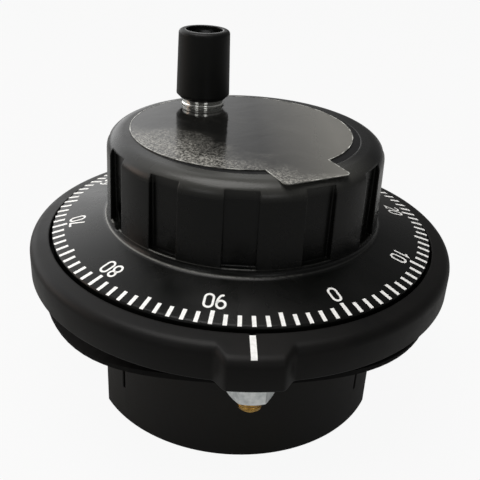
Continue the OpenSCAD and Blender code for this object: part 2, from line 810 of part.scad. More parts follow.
// the dial and knob in one moulding, with finger recesses outside and ribs inside
module handwheel() {
    rib_low_z = wheel_low_z + 3.5;
    color([0.05, 0.05, 0.055]) difference() {
        union() {
            rotate_extrude() difference() {
                wheel_section();
                hollow_section();
            }
            for (i = [0 : rib_count - 1])
                rotate(zero_dir + (i + 0.5) * 360 / rib_count) translate([hub_d / 2 - 0.5, -rib_t / 2, rib_low_z])
                    cube([cavity_r - hub_d / 2 + 1, rib_t, cavity_top_z - rib_low_z + 0.5]);
            rotate(crank_dir) translate([crank_r, 0, cavity_top_z - 5]) cylinder(r = crank_boss_r, h = 5.5);
        }
        for (i = [0 : recess_count - 1])
            rotate(zero_dir + i * 360 / recess_count) translate([recess_floor_r, -recess_w / 2, recess_z])
                cube([5, recess_w, recess_h]);
        translate([0, 0, wheel_low_z - over])
            cylinder(r = shaft_r + seated_fit, h = shaft_top_z - wheel_low_z + over);
        rotate(set_screw_dir) translate([0, 0, set_screw_z]) rotate([0, 90, 0]) {
            cylinder(r = set_screw_d / 2 + seated_fit, h = hub_d);
            translate([0, 0, cavity_r - 3]) cylinder(r = set_screw_d / 2 + 0.3, h = knob_wall + 6);
        }
        translate([0, 0, knob_top_z - plate_t]) cylinder(r = plate_r + seated_fit, h = plate_t + over);
        rotate(crank_dir) translate([crank_r, 0, cavity_top_z - 4])
            cylinder(r = crank_thread_r + seated_fit, h = 12);
    }
}

// bare disc inlaid in the knob's top
module top_plate() {
    color([0.1, 0.1, 0.11]) translate([0, 0, knob_top_z - plate_t]) difference() {
        cylinder(r = plate_r, h = plate_t);
        rotate(crank_dir) translate([crank_r, 0, -over])
            cylinder(r = crank_thread_r + 2 * seated_fit, h = plate_t + 2 * over);
    }
}

// clear protective film with a pull tab, cut open to its edge around the crank's collar
module film() {
    open_w = collar_d * 0.7;
    color([0.5, 0.5, 0.5, 0.6]) translate([0, 0, knob_top_z]) linear_extrude(film_t) difference() {
        union() {
            translate([film_x, film_y]) circle(film_r);
            rotate(tab_dir) translate([film_r / 2, -tab_w / 2]) square([tab_reach - film_r / 2 - 1, tab_w]);
            rotate(tab_dir) translate([film_r / 2, 1 - tab_w / 2]) square([tab_reach - film_r / 2, tab_w - 2]);
            for (side = [-1, 1])
                rotate(tab_dir) translate([tab_reach - 1, side * (tab_w / 2 - 1)]) circle(1);
        }
        rotate(crank_dir) translate([crank_r, 0]) {
            circle(collar_d / 2 + 0.1);
            translate([0, -open_w / 2]) square([collar_d, open_w]);
        }
    }
}

// hexagon-socket set screw that bears on the shaft's flat
module set_screw() {
    length = hub_d / 2 - shaft_r + 0.5;
    color([0.2, 0.2, 0.21]) rotate(set_screw_dir) translate([shaft_r - 0.5, 0, set_screw_z]) rotate([0, 90, 0])
        difference() {
            cylinder(d = set_screw_d, h = length);
            translate([0, 0, length - 2]) cylinder(d = 2.3, h = 2 + over, $fn = 6);
        }
}

// ---------- crank ----------

// turned spindle: a collar on the knob's top, with a threaded end below and the grip's post above
module crank_spindle() {
    color([0.8, 0.8, 0.82]) rotate(crank_dir) translate([crank_r, 0, 0]) difference() {
        union() {
            translate([0, 0, cavity_top_z - 3])
                cylinder(r = crank_thread_r, h = knob_top_z - cavity_top_z + 3 + small);
            translate([0, 0, knob_top_z]) rotate_extrude() difference() {
                square([collar_d / 2, collar_h]);
                translate([collar_d / 2 + 0.15, collar_h * 0.52]) circle(0.4);
            }
            translate([0, 0, knob_top_z + collar_h - small])
                cylinder(r = spindle_r, h = post_top_z - knob_top_z - collar_h + small);
        }
        translate([0, 0, post_top_z - 6]) cylinder(r = crank_screw_r + seated_fit, h = 6 + over);
    }
}

// washer that keeps the grip on its post
module crank_washer() {
    color([0.75, 0.75, 0.77]) rotate(crank_dir) translate([crank_r, 0, post_top_z]) difference() {
        cylinder(d = grip_mouth_d - 0.5, h = washer_t);
        translate([0, 0, -over]) cylinder(r = crank_screw_r + 0.1, h = washer_t + 2 * over);
    }
}

// cross-head screw in the spindle's end
module crank_screw() {
    seat_z = post_top_z + washer_t;
    color([0.82, 0.82, 0.84]) rotate(crank_dir) translate([crank_r, 0, seat_z]) difference() {
        union() {
            translate([0, 0, -5]) cylinder(r = crank_screw_r, h = 5 + small);
            cylinder(r = crank_screw_head_r, h = 0.9);
            translate([0, 0, 0.9 - small])
                cylinder(r1 = crank_screw_head_r, r2 = crank_screw_head_r - 0.8, h = 0.6);
        }
        translate([0, 0, 1.5]) cross_recess(2.8, 0.9);
    }
}

// tapered plastic grip that spins on the spindle, with a chamfered foot and a hollow top
module crank_grip() {
    foot_r = grip_d / 2;
    chamfer = 0.8;
    edge_r = 0.7;
    mouth_r = grip_mouth_d / 2;
    head_r = grip_top_d / 2;
    color([0.05, 0.05, 0.055]) rotate(crank_dir) translate([crank_r, 0, 0]) rotate_extrude() difference() {
        union() {
            polygon([[0, grip_z], [foot_r - chamfer, grip_z], [foot_r, grip_z + chamfer],
                     [head_r, grip_top_z - edge_r], [head_r - edge_r, grip_top_z - edge_r],
                     [head_r - edge_r, grip_top_z], [0, grip_top_z]]);
            translate([head_r - edge_r, grip_top_z - edge_r]) circle(edge_r);
        }
        translate([0, grip_z - over]) square([spindle_r + running_fit, grip_len]);
        translate([0, mouth_z]) square([mouth_r, grip_mouth_depth + over]);
    }
}

bezel_flange();
panel_gasket();
mount_studs();
stud_nuts();
rear_case();
case_screws();
upper_bush();
lower_bush();
detent_magnet();
detent_pole();
circuit_board();
board_screws();
optical_sensor();
reticle();
terminal_block();
terminal_screws();
terminal_pins();
handwheel();
top_plate();
film();
shaft();
upper_washer();
lower_washer();
retaining_ring();
detent_wheel();
code_hub();
code_disc();
disc_clamp();
set_screw();
crank_spindle();
crank_washer();
crank_screw();
crank_grip();
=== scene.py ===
import math

import bpy
import bmesh
from mathutils import Matrix, Vector
from mathutils.bvhtree import BVHTree


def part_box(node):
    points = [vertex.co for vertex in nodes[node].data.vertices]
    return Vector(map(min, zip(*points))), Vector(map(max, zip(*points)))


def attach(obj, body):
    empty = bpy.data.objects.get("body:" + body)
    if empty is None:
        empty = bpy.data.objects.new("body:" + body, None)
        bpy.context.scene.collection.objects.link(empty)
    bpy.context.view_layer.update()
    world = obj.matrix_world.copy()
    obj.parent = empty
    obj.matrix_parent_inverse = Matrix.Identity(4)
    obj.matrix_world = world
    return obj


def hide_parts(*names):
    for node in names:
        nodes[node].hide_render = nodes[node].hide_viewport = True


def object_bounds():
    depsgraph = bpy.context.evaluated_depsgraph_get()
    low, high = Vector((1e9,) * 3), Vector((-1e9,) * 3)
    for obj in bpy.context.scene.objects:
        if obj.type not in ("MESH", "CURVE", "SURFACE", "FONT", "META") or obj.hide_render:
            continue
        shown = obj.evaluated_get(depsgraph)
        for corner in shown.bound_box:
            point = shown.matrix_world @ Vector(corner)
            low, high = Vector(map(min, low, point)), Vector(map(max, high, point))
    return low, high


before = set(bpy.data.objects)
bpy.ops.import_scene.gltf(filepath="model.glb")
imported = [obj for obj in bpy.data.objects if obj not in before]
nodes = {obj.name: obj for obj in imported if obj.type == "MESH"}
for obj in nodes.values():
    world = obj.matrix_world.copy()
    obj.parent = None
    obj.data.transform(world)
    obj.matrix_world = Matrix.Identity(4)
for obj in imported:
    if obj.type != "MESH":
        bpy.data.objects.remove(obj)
cad_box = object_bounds()


# ---------- flange ----------
# The flange is one injection moulding in black ABS: the sloping ring, the index lug and the spigot
# behind. Its tool is finely spark eroded, so it is satin, with a faint grain and a few handling smears.

def linear(code):
    """An sRGB hex colour as linear values with alpha."""
    parts = [int(code[i:i + 2], 16) / 255 for i in (0, 2, 4)]
    return tuple(c / 12.92 if c <= 0.04045 else ((c + 0.055) / 1.055) ** 2.4 for c in parts) + (1.0,)


def add(tree, kind, inputs=None, **settings):
    """Adds a node, sets its properties, and sets or links its inputs."""
    node = tree.nodes.new(kind)
    for name, value in settings.items():
        setattr(node, name, value)
    for name, value in (inputs or {}).items():
        if isinstance(value, bpy.types.NodeSocket):
            tree.links.new(value, node.inputs[name])
        else:
            node.inputs[name].default_value = value
    return node


def new_material(name):
    """An empty material with its output node."""
    material = bpy.data.materials.new(name)
    material.use_nodes = True
    material.node_tree.nodes.clear()
    out = add(material.node_tree, "ShaderNodeOutputMaterial")
    return material, material.node_tree, out


def spread(tree, value, low, high, to_low=0.0, to_high=1.0, kind="LINEAR"):
    """A value's place between two others, on a new scale."""
    scale = {"Value": value, "From Min": low, "From Max": high, "To Min": to_low, "To Max": to_high}
    return add(tree, "ShaderNodeMapRange", scale, interpolation_type=kind).outputs["Result"]


def blend(tree, share, first, second):
    """A mix of two colours, each an sRGB hex or a socket."""
    a, b = [linear(end) if isinstance(end, str) else end for end in (first, second)]
    return add(tree, "ShaderNodeMix", {"Factor": share, "A": a, "B": b}, data_type="RGBA").outputs[2]


def black_moulding(name, shade, worn, gloss, matt, grain_mm, grain_depth_mm, smear_mm=11.0, edge_mm=0.4,
                   shine=0.2, painted_highlight=None, polished=None):
    """Black thermoplastic from a spark-eroded tool: grain, cloudy smears, colour drift and soft edges."""
    # The real grain is finer, and is drawn coarse enough to break up the shine.
    material, tree, out = new_material(name)
    place = add(tree, "ShaderNodeTexCoord").outputs["Object"]
    grain = add(tree, "ShaderNodeTexNoise", {"Vector": place, "Scale": 1000 / grain_mm, "Detail": 2.0,
                                             "Roughness": 0.6})
    smear = add(tree, "ShaderNodeTexNoise", {"Vector": place, "Scale": 1000 / smear_mm, "Detail": 4.0,
                                             "Roughness": 0.65, "Distortion": 0.4})
    colour = blend(tree, spread(tree, smear.outputs["Fac"], 0.35, 0.7), shade, worn)
    rough = spread(tree, smear.outputs["Fac"], 0.3, 0.7, gloss, matt)
    # A mask of painted highlights, when given, lightens the colour towards a pale grey.
    if painted_highlight:
        colour = blend(tree, painted_highlight(tree, place), colour, "9a9a95")
    if polished:
        rough = spread(tree, polished(tree, place), 0.0, 1.0, rough, 0.08)
    soft = add(tree, "ShaderNodeBevel", {"Radius": edge_mm / 1000}, samples=6)
    bump = add(tree, "ShaderNodeBump", {"Height": grain.outputs["Fac"], "Strength": 0.6,
                                        "Distance": grain_depth_mm / 1000, "Normal": soft.outputs["Normal"]})
    skin = add(tree, "ShaderNodeBsdfPrincipled", {"Base Color": colour, "Roughness": rough, "IOR": 1.5,
                                                  "Specular IOR Level": shine,
                                                  "Normal": bump.outputs["Normal"]})
    tree.links.new(skin.outputs["BSDF"], out.inputs["Surface"])
    return material


def finish(node, material):
    """Gives a CAD node its finish."""
    nodes[node].data.materials.clear()
    nodes[node].data.materials.append(material)


def plain_object(name, mesh, material, body):
    """A finished mesh as a piece of the model."""
    piece = bpy.data.objects.new(name, mesh)
    bpy.context.scene.collection.objects.link(piece)
    mesh.materials.clear()
    mesh.materials.append(material)
    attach(piece, body)
    return piece


def swept_ring(name, sections):
    """A closed ring from one closed section per direction, each a list of (radius, height) in mm."""
    bm = bmesh.new()
    rows = [[bm.verts.new((r * math.cos(a) / 1000, r * math.sin(a) / 1000, z / 1000)) for r, z in section]
            for a, section in sections]
    for now, then in zip(rows, rows[1:] + rows[:1]):
        for k in range(len(now)):
            after = (k + 1) % len(now)
            bm.faces.new((now[k], now[after], then[after], then[k]))
    bmesh.ops.recalc_face_normals(bm, faces=bm.faces)
    mesh = bpy.data.meshes.new(name)
    bm.to_mesh(mesh)
    bm.free()
    return mesh


def combined(mesh, tool, operation):
    """A mesh after a solid cut or join with another."""
    body, other = bpy.data.objects.new("body", mesh), bpy.data.objects.new("tool", tool)
    for piece in (body, other):
        bpy.context.scene.collection.objects.link(piece)
    cut = body.modifiers.new("cut", "BOOLEAN")
    cut.object, cut.operation, cut.solver = other, operation, "EXACT"
    bpy.context.view_layer.update()
    result = bpy.data.meshes.new_from_object(body.evaluated_get(bpy.context.evaluated_depsgraph_get()))
    body.modifiers.remove(cut)
    for piece in (body, other):
        bpy.data.objects.remove(piece)
    return result


# The ring's rounded edge runs out round the lug in one soft sweep, as the tool leaves it. Its sizes are in
# mm. The sweep's wall stands a lip's width inside the well, and it overlaps the kept core from skin_in out.
ring_r, well_r, rim_z, under_z, edge_r, ring_slope = 39.6, 36.1, 7.6, 1.1, 1.9, math.radians(11)
lug_out, lug_half, lug_blend = -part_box("bezel_flange")[0][1] * 1000 - ring_r, 5.1, 2.5
lip, eased, skin_in, skin_under = 0.06, 0.25, 39.0, 0.005


def rim_profile(angle):
    """The ring's closed section in one direction, from the well's wall over the edge to the underside."""
    beside = abs(ring_r * math.sin(angle + math.pi / 2)) if math.sin(angle) < 0 else ring_r
    share = min(1.0, max(0.0, (lug_half + lug_blend / 2 - beside) / lug_blend))
    out = ring_r + lug_out * share * share * (3 - 2 * share)
    crest = out - edge_r
    centre_z = rim_z - math.tan(ring_slope) * (crest - well_r) - edge_r / math.cos(ring_slope)
    turned = [(math.pi / 2 - ring_slope) * (1 - k / 14) for k in range(15)]
    top = [(r, rim_z - math.tan(ring_slope) * (r - well_r))
           for r in (well_r + 0.08, (2 * well_r + crest) / 3, (well_r + 2 * crest) / 3)]
    edge = [(crest + edge_r * math.cos(t), centre_z + edge_r * math.sin(t)) for t in turned]
    bottom = under_z - skin_under
    under = [(out, under_z + eased), (out - 0.07, under_z + 0.07), (out - eased, bottom), (skin_in, bottom)]
    inside = [(skin_in, 3.6), (skin_in - 0.5, 5.0), (well_r + 0.45, rim_z - 1.2)]
    return [(well_r - lip, rim_z - 1.2), (well_r - lip, rim_z - 0.12)] + top + edge + under + inside


def round_peg(x, y, r, low, high):
    """A plain upright peg to cut with, in mm."""
    bm = bmesh.new()
    bmesh.ops.create_cone(bm, cap_ends=True, segments=24, radius1=r / 1000, radius2=r / 1000,
                          depth=(high - low) / 1000)
    bmesh.ops.translate(bm, verts=bm.verts, vec=(x / 1000, y / 1000, (low + high) / 2000))
    mesh = bpy.data.meshes.new("peg")
    bm.to_mesh(mesh)
    bm.free()
    return mesh


front = [math.radians(-90 + i * 0.1) for i in range(-120, 121)]
rest = [math.radians(-78 + i * 336 / 240) for i in range(1, 240)]
sweep = swept_ring("rim_sweep", [(a, rim_profile(a)) for a in front + rest])

# What is kept of the CAD's flange lies inside this limit: all but the skin of its ring.
limit = [(0.5, -30.0), (39.2, -30.0), (39.2, 5.8), (36.0, 7.2), (36.0, 30.0), (0.5, 30.0)]
core = swept_ring("core", [(math.radians(i * 1.5), limit) for i in range(240)])
bm = bmesh.new()
bm.from_mesh(nodes["bezel_flange"].data)
bmesh.ops.remove_doubles(bm, verts=bm.verts, dist=1e-6)
flange_mesh = bpy.data.meshes.new("flange_moulding")
bm.to_mesh(flange_mesh)
bm.free()
flange_mesh = combined(combined(flange_mesh, core, "INTERSECT"), sweep, "UNION")

# A small round notch in the rim stands at the index line.
line_x, line_w, line_near, line_far = -0.00032, 0.00096, 0.0366, 0.0411
notch_r, notch_z = 0.5, 6.4
notch = round_peg(line_x * 1000, -well_r + 0.05, notch_r, notch_z, rim_z + 1.4)
flange_mesh = combined(flange_mesh, notch, "DIFFERENCE")

# Slivers that the cuts leave are merged.
bm = bmesh.new()
bm.from_mesh(flange_mesh)
bmesh.ops.remove_doubles(bm, verts=bm.verts, dist=4e-6)
bmesh.ops.dissolve_degenerate(bm, edges=bm.edges, dist=1e-6)
bm.to_mesh(flange_mesh)
bm.free()
flange_mesh.shade_smooth()
flange_mesh.set_sharp_from_angle(angle=math.radians(32))
flange_abs = black_moulding("moulded_black_abs", "0b0b0b", "121110", 0.41, 0.53, 0.35, 0.02, shine=0.14)
finish("bezel_flange", flange_abs)
flange = plain_object("flange_moulding", flange_mesh, flange_abs, "base")
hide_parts("bezel_flange")


def surface_of(mesh):
    """A look-up for heights on a mesh, from above."""
    tree = BVHTree.FromPolygons([v.co for v in mesh.vertices], [p.vertices for p in mesh.polygons])
    top = max(v.co.z for v in mesh.vertices) + 0.01
    return lambda x, y: tree.ray_cast(Vector((x, y, top)), Vector((0, 0, -1)))[0].z


def ribbon(bm, left, right, height, ink=0.00003, closed=False):
    """A thin printed strip between two rows of plan points, laid on a surface."""
    rows = []
    for a, b in zip(left, right):
        rows.append([bm.verts.new((x, y, height(x, y) + rise)) for x, y, rise in
                     ((*a, ink), (*b, ink), (*b, -ink), (*a, -ink))])
    pairs = list(zip(rows, rows[1:] + rows[:1])) if closed else list(zip(rows, rows[1:]))
    for now, then in pairs:
        for k in range(4):
            bm.faces.new((now[k], now[(k + 1) % 4], then[(k + 1) % 4], then[k]))
    if not closed:
        bm.faces.new(rows[0][::-1])
        bm.faces.new(rows[-1])


def printed_mesh(name, bm):
    """The strips as a mesh with its faces pointing out."""
    bmesh.ops.recalc_face_normals(bm, faces=bm.faces)
    mesh = bpy.data.meshes.new(name)
    bm.to_mesh(mesh)
    bm.free()
    return mesh


# White pad-printing ink: a thin matt film, slightly uneven where the pad lifted
ink_white, tree, out = new_material("pad_printed_white_ink")
place = add(tree, "ShaderNodeTexCoord").outputs["Object"]
blotch = add(tree, "ShaderNodeTexNoise", {"Vector": place, "Scale": 1000 / 0.5, "Detail": 3.0})
colour = blend(tree, spread(tree, blotch.outputs["Fac"], 0.3, 0.6), "e6e6e3", "f4f4f2")
skin = add(tree, "ShaderNodeBsdfPrincipled", {"Base Color": colour, "Roughness": 0.6, "IOR": 1.5})
tree.links.new(skin.outputs["BSDF"], out.inputs["Surface"])

# The index is one printed line from the notch over the lug's top.
lug_top = surface_of(flange_mesh)
bm = bmesh.new()
steps = [line_near + (line_far - line_near) * i / 12 for i in range(13)]
ribbon(bm, [(line_x - line_w / 2, -y) for y in steps], [(line_x + line_w / 2, -y) for y in steps], lug_top)
plain_object("index_line", printed_mesh("index_line", bm), ink_white, "base")


# ---------- gasket ----------
# The gasket is a moulded ring of black nitrile rubber between the flange and the panel. It is matt,
# with a chalky bloom, and droops between the studs that hold it.
gasket_rubber, tree, out = new_material("moulded_nitrile_rubber")
place = add(tree, "ShaderNodeTexCoord").outputs["Object"]
bloom = add(tree, "ShaderNodeTexNoise", {"Vector": place, "Scale": 1000 / 4.0, "Detail": 5.0})
colour = blend(tree, spread(tree, bloom.outputs["Fac"], 0.45, 0.75), "050505", "0d0d0c")
pores = add(tree, "ShaderNodeTexNoise", {"Vector": place, "Scale": 1000 / 0.4, "Detail": 2.0})
bump = add(tree, "ShaderNodeBump", {"Height": pores.outputs["Fac"], "Strength": 0.5, "Distance": 0.00003})
skin = add(tree, "ShaderNodeBsdfPrincipled", {"Base Color": colour, "Roughness": 0.75, "IOR": 1.52,
                                              "Specular IOR Level": 0.1, "Normal": bump.outputs["Normal"]})
tree.links.new(skin.outputs["BSDF"], out.inputs["Surface"])
finish("panel_gasket", gasket_rubber)


# ---------- studs and nuts ----------
# Three M4 studs of bright brass have their heads moulded into the flange, and carry hexagon nuts of
# plated steel. The thread is cut, so its flanks catch the light in fine rings.

def maths(tree, operation, a, b=0.0):
    """One step of arithmetic in a node tree."""
    return add(tree, "ShaderNodeMath", {0: a, 1: b}, operation=operation).outputs[0]


def metal(name, light, dark, gloss, matt, mottle_mm, scratch=0.0, pitch=0.0):
    """Bare or plated metal with a mottled tone and uneven polish, and the rings of a thread on request."""
    material, tree, out = new_material(name)
    place = add(tree, "ShaderNodeTexCoord").outputs["Object"]
    mottle = add(tree, "ShaderNodeTexNoise", {"Vector": place, "Scale": 1000 / mottle_mm, "Detail": 4.0})
    colour = blend(tree, spread(tree, mottle.outputs["Fac"], 0.3, 0.7), dark, light)
    rough = spread(tree, mottle.outputs["Fac"], 0.3, 0.7, gloss, matt)
    bump = add(tree, "ShaderNodeBump", {"Height": mottle.outputs["Fac"], "Strength": 0.3,
                                        "Distance": scratch / 1000})
    if pitch:
        height = add(tree, "ShaderNodeSeparateXYZ", {"Vector": place}).outputs["Z"]
        ring = maths(tree, "SINE", maths(tree, "MULTIPLY", height, 2000 * math.pi / pitch))
        bump = add(tree, "ShaderNodeBump", {"Height": ring, "Strength": 1.0, "Distance": pitch / 5000,
                                            "Normal": bump.outputs["Normal"]})
    skin = add(tree, "ShaderNodeBsdfPrincipled", {"Base Color": colour, "Metallic": 1.0, "Roughness": rough,
                                                  "Normal": bump.outputs["Normal"]})
    tree.links.new(skin.outputs["BSDF"], out.inputs["Surface"])
    return material


stud_brass = metal("turned_brass", "f0c46c", "b98433", 0.14, 0.26, 0.6, 0.01, 0.7)
nut_zinc = metal("zinc_plated_steel", "f2f5f5", "cdd2d3", 0.30, 0.45, 0.8, 0.01)
finish("stud_nuts", nut_zinc)
finish("mount_studs", stud_brass)


# ---------- rear case ----------
# The rear case is a black ABS moulding screwed to the flange from behind. Its tool is coarser than the
# flange's, so it is duller, and it carries a faint warm cast where the resin is thick.
case_abs = black_moulding("moulded_black_abs_coarse", "191817", "21201d", 0.50, 0.62, 0.5, 0.03, 18.0)
finish("rear_case", case_abs)

# Self-tapping screws of zinc-plated steel hold the case, and small ones the circuit board.
screw_zinc = metal("zinc_plated_screw", "d8dadb", "a6a9ab", 0.25, 0.42, 0.7, 0.01)
for name in ("case_screws", "board_screws", "crank_screw", "crank_washer"):
    finish(name, screw_zinc)


# ---------- bearing ----------
# Two collared bushes of sintered bronze are pressed into the hub. Acetal washers take the thrust.
bush_bronze = metal("sintered_bronze", "b48a52", "7c5a32", 0.42, 0.6, 0.4, 0.03)
for name in ("upper_bush", "lower_bush"):
    finish(name, bush_bronze)


def plain_plastic(name, light, dark, rough, mottle_mm):
    """A moulded plastic with a slightly cloudy tone."""
    material, tree, out = new_material(name)
    place = add(tree, "ShaderNodeTexCoord").outputs["Object"]
    cloud = add(tree, "ShaderNodeTexNoise", {"Vector": place, "Scale": 1000 / mottle_mm, "Detail": 3.0})
    colour = blend(tree, cloud.outputs["Fac"], dark, light)
    bump = add(tree, "ShaderNodeBump", {"Height": cloud.outputs["Fac"], "Strength": 0.3,
                                        "Distance": 0.00002})
    skin = add(tree, "ShaderNodeBsdfPrincipled", {"Base Color": colour, "Roughness": rough, "IOR": 1.49,
                                                  "Normal": bump.outputs["Normal"]})
    tree.links.new(skin.outputs["BSDF"], out.inputs["Surface"])
    return material


washer_acetal = plain_plastic("machined_acetal", "e6e4da", "d2d0c5", 0.42, 1.0)
for name in ("upper_washer", "lower_washer"):
    finish(name, washer_acetal)

# The shaft is ground steel; the ring and the set screw are blackened with oil.
shaft_steel = metal("ground_steel", "cdd0d2", "a2a6a9", 0.18, 0.30, 0.5, 0.005)
finish("shaft", shaft_steel)
blacked_steel = metal("oil_blackened_steel", "3a3a3c", "222224", 0.35, 0.5, 0.6, 0.01)
for name in ("retaining_ring", "set_screw"):
    finish(name, blacked_steel)


# ---------- detent and encoder ----------
# Soft-iron wheel and pole, a ferrite magnet, aluminium hubs and an etched steel code disc.
soft_iron = metal("annealed_iron", "8b8b8c", "626264", 0.4, 0.55, 0.8, 0.02)
for name in ("detent_wheel", "detent_pole"):
    finish(name, soft_iron)
magnet_ferrite = plain_plastic("pressed_ferrite", "3e3e42", "2c2c30", 0.7, 0.8)
finish("detent_magnet", magnet_ferrite)
hub_aluminium = metal("turned_aluminium", "dadcdf", "b6b9bd", 0.26, 0.4, 0.7, 0.01)
for name in ("code_hub", "disc_clamp"):
    finish(name, hub_aluminium)
disc_steel = metal("etched_steel", "b9bcc0", "94979c", 0.22, 0.36, 0.9, 0.005)
finish("code_disc", disc_steel)

# The sensor is black epoxy with a glass slit plate, on a board with green solder mask.
finish("optical_sensor", plain_plastic("moulded_epoxy", "1c1c1e", "121214", 0.5, 0.6))
finish("reticle", metal("chromed_glass", "b9c4c8", "93a0a5", 0.12, 0.2, 1.2, 0.0))
finish("circuit_board", plain_plastic("solder_mask", "1d6b3a", "15532c", 0.32, 3.0))


# ---------- terminals ----------
# A green polyamide block stands in the wiring recess, with tin-plated screws and pins.
finish("terminal_block", plain_plastic("moulded_polyamide", "2c8a4d", "20713c", 0.45, 2.0))
terminal_tin = metal("tin_plated_brass", "d9d9d4", "b0b0aa", 0.28, 0.4, 0.6, 0.01)
for name in ("terminal_screws", "terminal_pins"):
    finish(name, terminal_tin)


# ---------- dial and knob ----------
# The dial and knob are one moulding in satin black ABS. A hundred marks and ten numerals are printed
# in white on the dial's cone, every fifth mark longer.

def band(tree, value, centre, width):
    """One at a value, falling to nothing at a distance from it."""
    away = maths(tree, "ABSOLUTE", maths(tree, "SUBTRACT", value, centre))
    return spread(tree, away, width, 0.0)


def off_axis(tree, parts, x=0.0, y=0.0):
    """Plan distance of a separated position from an upright axis."""
    across = [maths(tree, "SUBTRACT", parts[name], centre) for name, centre in (("X", x), ("Y", y))]
    squares = [maths(tree, "MULTIPLY", a, a) for a in across]
    return maths(tree, "SQRT", maths(tree, "ADD", *squares))


def foot_highlights(tree, place):
    """Painted highlight lines at the knob's foot and the recesses' ledges, and a painted highlight on the
    shoulder's front.
    """
    parts = add(tree, "ShaderNodeSeparateXYZ", {"Vector": place}).outputs
    out = off_axis(tree, parts)
    below = maths(tree, "LESS_THAN", parts["Z"], 0.0121)
    foot = maths(tree, "MULTIPLY", band(tree, out, 0.02575, 0.00016), below)
    ledge_height = band(tree, parts["Z"], 0.0120, 0.00014)
    ledge = maths(tree, "MULTIPLY", ledge_height, band(tree, out, 0.02524, 0.00024))
    # Noise breaks the painted highlight lines into dots, and more of them are kept towards the left.
    breakup = add(tree, "ShaderNodeTexNoise", {"Vector": place, "Scale": 1000 / 1.5, "Detail": 4.0,
                                            "Roughness": 0.7})
    left = maths(tree, "MULTIPLY", parts["X"], -20.0)
    kept = spread(tree, maths(tree, "ADD", breakup.outputs["Fac"], left), 0.35, 0.85, 0.05, 0.6)
    highlight_lines = maths(tree, "MULTIPLY", maths(tree, "MAXIMUM", foot, ledge), kept)
    # The front of the crown's shoulder is lightened as a painted highlight.
    near = spread(tree, parts["Y"], -0.010, -0.022, 0.0, 0.16, "SMOOTHSTEP")
    shoulder_highlight = maths(tree, "MULTIPLY", spread(tree, parts["Z"], 0.0236, 0.0258), near)
    return maths(tree, "MAXIMUM", highlight_lines, shoulder_highlight)


# The knob's satin moulding carries painted highlights at its foot, its ledges and its front shoulder.
wheel_abs = black_moulding("moulded_black_abs_satin", "070807", "0e0e0d", 0.22, 0.32, 0.3, 0.015, 9.0,
                           painted_highlight=foot_highlights)
finish("handwheel", wheel_abs)

marks, turn = 100, math.radians(3.6)
reading = 93
zero = math.radians(-90) + (marks - reading) * turn
mark_outer, short_inner, long_inner, mark_w = 0.03544, 0.03334, 0.03280, 0.00066
dial_top = surface_of(nodes["handwheel"].data)
probe, probe_in, probe_out = math.radians(-80), 0.0300, 0.0350
z_in, z_out = (dial_top(r * math.cos(probe), r * math.sin(probe)) for r in (probe_in, probe_out))
fall = math.atan((z_in - z_out) / (probe_out - probe_in))

marks_tree = bpy.data.node_groups.new("dial_marks", "GeometryNodeTree")
marks_tree.is_modifier = True
marks_tree.interface.new_socket("Geometry", in_out="OUTPUT", socket_type="NodeSocketGeometry")
for label, kind in (("Marks", "NodeSocketInt"), ("Long every", "NodeSocketInt"),
                    ("Start angle", "NodeSocketFloat"), ("Outer radius", "NodeSocketFloat"),
                    ("Short length", "NodeSocketFloat"),
                    ("Long length", "NodeSocketFloat"), ("Mark width", "NodeSocketFloat"),
                    ("Ink thickness", "NodeSocketFloat"), ("Outer height", "NodeSocketFloat"),
                    ("Slope", "NodeSocketFloat"), ("Ink", "NodeSocketMaterial")):
    marks_tree.interface.new_socket(label, in_out="INPUT", socket_type=kind)
given = add(marks_tree, "NodeGroupInput").outputs
index = add(marks_tree, "GeometryNodeInputIndex").outputs["Index"]
one_turn = maths(marks_tree, "DIVIDE", 2 * math.pi, given["Marks"])
angle = maths(marks_tree, "ADD", maths(marks_tree, "MULTIPLY", index, one_turn), given["Start angle"])
short = maths(marks_tree, "GREATER_THAN", maths(marks_tree, "MODULO", index, given["Long every"]), 0.5)
length = add(marks_tree, "GeometryNodeSwitch", {"Switch": short, "False": given["Long length"],
                                                "True": given["Short length"]}, input_type="FLOAT").outputs[0]
half = maths(marks_tree, "MULTIPLY", length, 0.5)
radius = maths(marks_tree, "SUBTRACT", given["Outer radius"], half)
height = maths(marks_tree, "ADD", given["Outer height"],
               maths(marks_tree, "MULTIPLY", half, maths(marks_tree, "TANGENT", given["Slope"])))
spot = add(marks_tree, "ShaderNodeCombineXYZ", {
    "X": maths(marks_tree, "MULTIPLY", radius, maths(marks_tree, "COSINE", angle)),
    "Y": maths(marks_tree, "MULTIPLY", radius, maths(marks_tree, "SINE", angle)), "Z": height})
lean = add(marks_tree, "ShaderNodeCombineXYZ", {"Y": given["Slope"], "Z": angle})
along = maths(marks_tree, "DIVIDE", length, maths(marks_tree, "COSINE", given["Slope"]))
size = add(marks_tree, "ShaderNodeCombineXYZ", {"X": along, "Y": given["Mark width"],
                                                "Z": given["Ink thickness"]})
points = add(marks_tree, "GeometryNodePoints", {"Count": given["Marks"], "Position": spot.outputs[0]})
bar = add(marks_tree, "GeometryNodeMeshCube", {"Size": (1.0, 1.0, 1.0)})
bars = add(marks_tree, "GeometryNodeInstanceOnPoints", {
    "Points": points.outputs[0], "Instance": bar.outputs["Mesh"], "Rotation": lean.outputs[0],
    "Scale": size.outputs[0]})
real = add(marks_tree, "GeometryNodeRealizeInstances", {"Geometry": bars.outputs["Instances"]})
inked = add(marks_tree, "GeometryNodeSetMaterial", {"Geometry": real.outputs["Geometry"],
                                                    "Material": given["Ink"]})
add(marks_tree, "NodeGroupOutput", {"Geometry": inked.outputs["Geometry"]})


